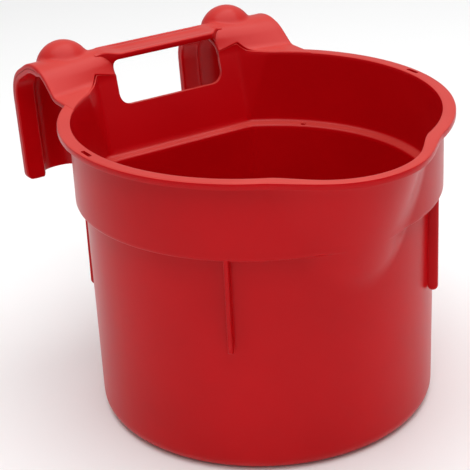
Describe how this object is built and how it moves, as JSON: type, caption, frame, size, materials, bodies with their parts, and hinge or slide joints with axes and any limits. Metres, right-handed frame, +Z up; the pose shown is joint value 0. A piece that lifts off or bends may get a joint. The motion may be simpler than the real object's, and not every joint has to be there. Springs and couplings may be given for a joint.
{
  "type": "hook-over bucket",
  "caption": "One-piece moulded red feed and water bucket that hangs over a board on two domed hooks, with hand grip and pouring spout.",
  "frame": {"origin": "centre of the base's underside, on the axis of the round tub", "axes": "+Z up along the tub's axis, -Y towards the pouring spout, +Y towards the hooks, +X to the right seen from the spout"},
  "size_m": [0.3, 0.3804, 0.267],
  "materials": {
    "red_plastic": "gloss"
  },
  "bodies": {
    "root": {"tub_floor": "red_plastic", "base_curve": "red_plastic", "lower_wall": "red_plastic", "shelf_step": "red_plastic", "collar_left": "red_plastic", "collar_right": "red_plastic", "back_panel": "red_plastic", "cheek_left": "red_plastic", "cheek_right": "red_plastic", "rim_left": "red_plastic", "rim_right": "red_plastic", "spout_rim": "red_plastic", "spout_body": "red_plastic", "rib_front_left": "red_plastic", "rib_front_right": "red_plastic", "rib_rear_left": "red_plastic", "rib_rear_right": "red_plastic", "hand_grip": "red_plastic", "hook_arch_left": "red_plastic", "outer_band_left": "red_plastic", "inner_band_left": "red_plastic", "hook_channel_left": "red_plastic", "dome_left": "red_plastic", "hook_arch_right": "red_plastic", "outer_band_right": "red_plastic", "inner_band_right": "red_plastic", "hook_channel_right": "red_plastic", "dome_right": "red_plastic"}
  },
  "joints": []
}
